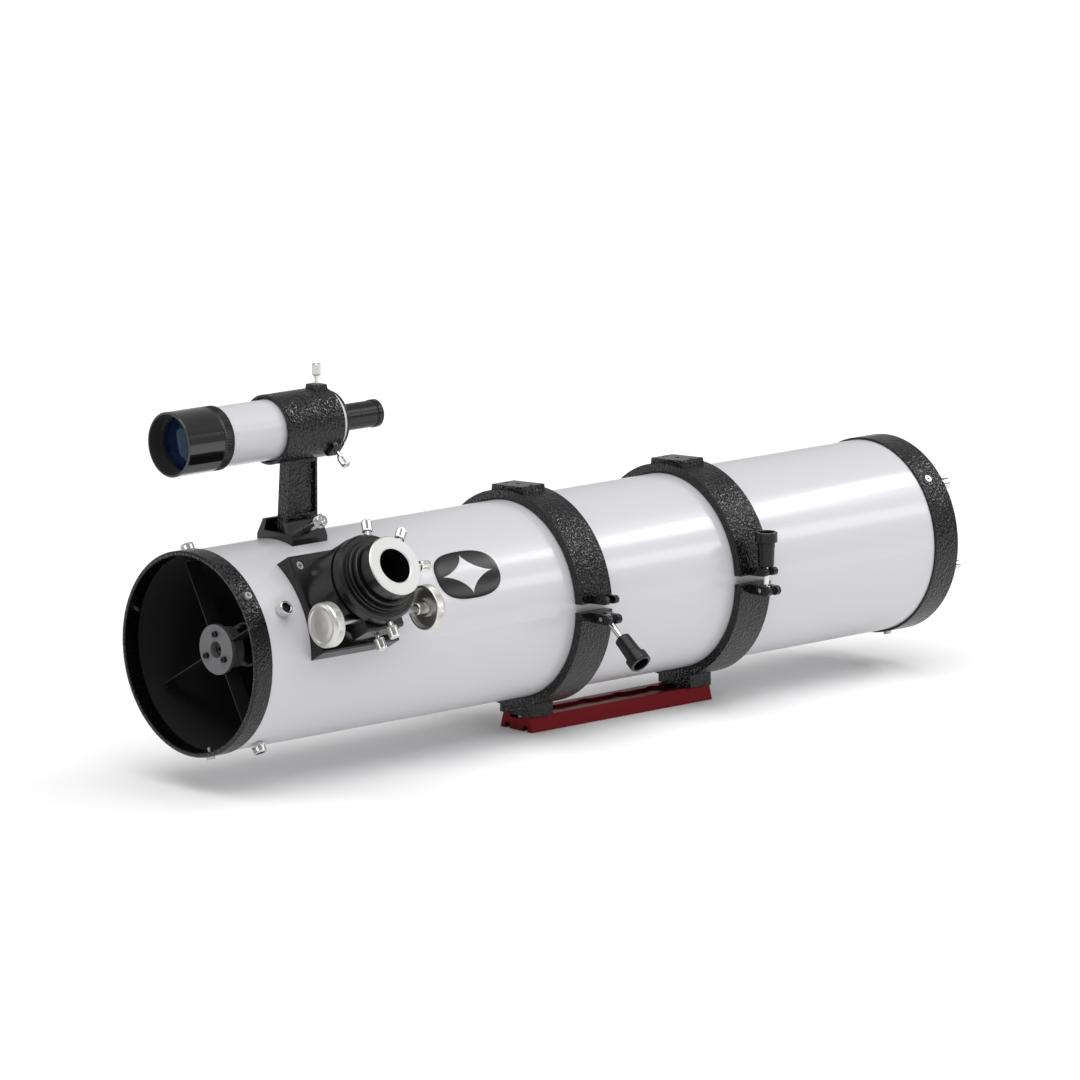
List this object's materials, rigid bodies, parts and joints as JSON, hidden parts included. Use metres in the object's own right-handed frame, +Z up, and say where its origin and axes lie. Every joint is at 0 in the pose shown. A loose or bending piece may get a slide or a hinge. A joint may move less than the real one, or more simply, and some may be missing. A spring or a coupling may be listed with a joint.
{
  "type": "newtonian reflector telescope",
  "caption": "Open-mouthed reflector optical tube in split cradle rings on a dovetail bar, with a sliding focuser, a finder scope and adjustable mirrors.",
  "frame": {"origin": "middle of the dovetail bar's underside", "axes": "+Y along the tube from its open mouth to the mirror cell, +Z up, +X to the focuser's side"},
  "size_m": [0.2777, 0.9043, 0.3663],
  "materials": {
    "gloss_white_enamel": "gloss",
    "black_hammertone": "hammered gloss",
    "black_anodised": "semi-gloss",
    "satin_silver": "satin",
    "chrome": "polished",
    "black_plastic": "satin",
    "red_anodised": "satin",
    "black_felt": "matt",
    "steel": "bright",
    "black_steel": "matt",
    "mirror_coating": "mirror",
    "coated_glass": "coated",
    "black_rubber": "matt"
  },
  "bodies": {
    "cradle": {"dovetail_bar": "red_anodised", "dovetail_bolts": "steel", "front_ring_lower": "black_hammertone", "rear_ring_lower": "black_hammertone", "rear_ring_upper": "black_hammertone", "ring_felts": "black_felt", "ring_pins": "steel"},
    "front_ring_top": {"front_ring_upper": "black_hammertone", "front_ring_upper_felt": "black_felt"},
    "front_bolt": {"front_swing_bolt": "chrome"},
    "front_knob": {"front_ring_knob": "black_plastic"},
    "rear_bolt": {"rear_swing_bolt": "chrome"},
    "rear_knob": {"rear_ring_knob": "black_plastic"},
    "optical_tube": {"main_tube": "gloss_white_enamel", "front_end_ring": "black_hammertone", "rear_end_ring": "black_hammertone", "end_ring_screws": "steel", "spider_vanes": "black_steel", "spider_thumb_nuts": "chrome", "spider_hub": "black_anodised", "secondary_screws": "steel", "mirror_cell": "black_hammertone", "mirror_lock_screws": "chrome", "focuser_base": "black_anodised", "focuser_base_screws": "steel", "focuser_housing": "black_anodised", "focuser_rollers": "steel", "focus_shaft_block": "black_anodised", "finder_shoe": "black_anodised"},
    "secondary": {"secondary_holder": "black_anodised", "secondary_mirror": "mirror_coating"},
    "primary": {"mirror_plate": "black_anodised", "primary_mirror": "mirror_coating", "mirror_clips": "black_plastic", "collimation_springs": "steel"},
    "collimation_1": {"collimation_knob_1": "chrome"},
    "collimation_2": {"collimation_knob_2": "chrome"},
    "collimation_3": {"collimation_knob_3": "chrome"},
    "focus_shaft": {"focus_shaft": "steel", "focus_knob_left": "satin_silver", "focus_knob_right": "satin_silver"},
    "drawtube": {"drawtube": "black_anodised", "eyepiece_holder": "black_anodised"},
    "holder_screw_a": {"holder_screw_1": "chrome"},
    "holder_screw_b": {"holder_screw_2": "chrome"},
    "adapter": {"eyepiece_adapter": "black_anodised"},
    "adapter_screw_a": {"adapter_screw_1": "chrome"},
    "adapter_screw_b": {"adapter_screw_2": "chrome"},
    "focus_lock": {"focus_lock_screw": "chrome"},
    "finder": {"finder_bracket": "black_hammertone", "finder_o_ring": "black_rubber", "finder_tube": "gloss_white_enamel", "finder_eyepiece": "black_anodised"},
    "finder_front": {"finder_cell": "black_anodised", "finder_objective": "coated_glass"},
    "finder_ring": {"finder_lock_ring": "black_anodised"},
    "adjusting_a": {"finder_adjusting_screw_1": "chrome"},
    "adjusting_b": {"finder_adjusting_screw_2": "chrome"},
    "plunger": {"finder_spring_plunger": "chrome"},
    "shoe_clamp": {"shoe_clamp_screw": "black_plastic"}
  },
  "joints": [
    {"name": "tube_turn", "type": "hinge", "parent": "cradle", "child": "optical_tube", "pos_m": [0, 0, 0.1235], "axis": [0, 1, 0], "continuous": true},
    {"name": "front_ring_opening", "type": "hinge", "parent": "cradle", "child": "front_ring_top", "pos_m": [-0.1066, -0.1045, 0.1235], "axis": [0, -1, 0], "range_deg": [0, 100]},
    {"name": "front_bolt_swing", "type": "hinge", "parent": "cradle", "child": "front_bolt", "pos_m": [0.1131, -0.1045, 0.1192], "axis": [0, -1, 0], "range_deg": [0, 128]},
    {"name": "front_knob_turn", "type": "hinge", "parent": "front_bolt", "child": "front_knob", "pos_m": [0.1131, -0.1045, 0.1192], "axis": [0.788, 0, -0.6157], "range_deg": [-360, 360]},
    {"name": "rear_bolt_swing", "type": "hinge", "parent": "cradle", "child": "rear_bolt", "pos_m": [0.1131, 0.0933, 0.1192], "axis": [0, 1, 0], "range_deg": [0, 128]},
    {"name": "rear_knob_turn", "type": "hinge", "parent": "rear_bolt", "child": "rear_knob", "pos_m": [0.1131, 0.0933, 0.1192], "axis": [0, 0, 1], "range_deg": [-360, 360]},
    {"name": "secondary_turn", "type": "hinge", "parent": "optical_tube", "child": "secondary", "pos_m": [0, -0.392, 0.1235], "axis": [0, 1, 0], "range_deg": [-10, 10]},
    {"name": "collimation_1_turn", "type": "hinge", "parent": "optical_tube", "child": "collimation_1", "pos_m": [0.05722, 0.3345, 0.17502], "axis": [0, 1, 0], "range_deg": [-360, 360]},
    {"name": "collimation_2_turn", "type": "hinge", "parent": "optical_tube", "child": "collimation_2", "pos_m": [-0.07323, 0.3345, 0.14729], "axis": [0, 1, 0], "range_deg": [-360, 360]},
    {"name": "collimation_3_turn", "type": "hinge", "parent": "optical_tube", "child": "collimation_3", "pos_m": [0.01601, 0.3345, 0.04818], "axis": [0, 1, 0], "range_deg": [-360, 360]},
    {"name": "primary_tilt", "type": "hinge", "parent": "optical_tube", "child": "primary", "pos_m": [-0.02861, 0.3345, 0.09774], "axis": [-0.6691, 0, 0.7431], "range_deg": [-0.3969, 0.3969]},
    {"name": "focus_turn", "type": "hinge", "parent": "optical_tube", "child": "focus_shaft", "pos_m": [0.12664, -0.392, 0.16215], "axis": [0, 1, 0], "range_deg": [0, 535]},
    {"name": "focus_slide", "type": "slide", "parent": "optical_tube", "child": "drawtube", "axis": [0.866, 0, 0.5], "range_m": [0, 0.028]},
    {"name": "holder_screw_a_turn", "type": "hinge", "parent": "drawtube", "child": "holder_screw_a", "pos_m": [0.12311, -0.392, 0.19457], "axis": [-0.483, 0.2588, 0.8365], "range_deg": [-360, 360]},
    {"name": "holder_screw_b_turn", "type": "hinge", "parent": "drawtube", "child": "holder_screw_b", "pos_m": [0.12311, -0.392, 0.19457], "axis": [0.5, 0, -0.866], "range_deg": [-360, 360]},
    {"name": "adapter_slide", "type": "slide", "parent": "drawtube", "child": "adapter", "axis": [0.866, 0, 0.5], "range_m": [0, 0.03]},
    {"name": "adapter_screw_a_turn", "type": "hinge", "parent": "adapter", "child": "adapter_screw_a", "pos_m": [0.14592, -0.392, 0.20775], "axis": [-0.383, 0.6428, 0.6634], "range_deg": [-360, 360]},
    {"name": "adapter_screw_b_turn", "type": "hinge", "parent": "adapter", "child": "adapter_screw_b", "pos_m": [0.14592, -0.392, 0.20775], "axis": [0.0436, 0.9962, -0.0755], "range_deg": [-360, 360]},
    {"name": "focus_lock_turn", "type": "hinge", "parent": "optical_tube", "child": "focus_lock", "pos_m": [0.12679, -0.392, 0.14589], "axis": [0.5, 0, -0.866], "range_deg": [-360, 360]},
    {"name": "finder_slide", "type": "slide", "parent": "optical_tube", "child": "finder", "axis": [0, -1, 0], "range_m": [0, 0.045]},
    {"name": "finder_front_turn", "type": "hinge", "parent": "finder", "child": "finder_front", "pos_m": [0, -0.502, 0.3135], "axis": [0, 1, 0], "range_deg": [-180, 180]},
    {"name": "finder_ring_turn", "type": "hinge", "parent": "finder", "child": "finder_ring", "pos_m": [0, -0.477, 0.3135], "axis": [0, 1, 0], "range_deg": [-180, 180]},
    {"name": "adjusting_a_turn", "type": "hinge", "parent": "finder", "child": "adjusting_a", "pos_m": [0, -0.3513, 0.3135], "axis": [0, 0, 1], "range_deg": [-360, 360]},
    {"name": "adjusting_b_turn", "type": "hinge", "parent": "finder", "child": "adjusting_b", "pos_m": [0, -0.3513, 0.3135], "axis": [0.766, 0, -0.6428], "range_deg": [-360, 360]},
    {"name": "plunger_slide", "type": "slide", "parent": "finder", "child": "plunger", "axis": [-0.766, 0, -0.6428], "range_m": [0, 0.005], "stiffness_N_per_m": 800, "springref_m": -0.003},
    {"name": "shoe_clamp_turn", "type": "hinge", "parent": "optical_tube", "child": "shoe_clamp", "pos_m": [0.02, -0.38, 0.2234], "axis": [0.8797, 0, 0.4755], "range_deg": [-360, 360]}
  ],
  "couplings": [
    {"joint": "focus_turn", "follows": "focus_slide", "rad_per_m": 333.33},
    {"joint": "primary_tilt", "follows": "collimation_1_turn", "ratio": -0.0011024}
  ]
}
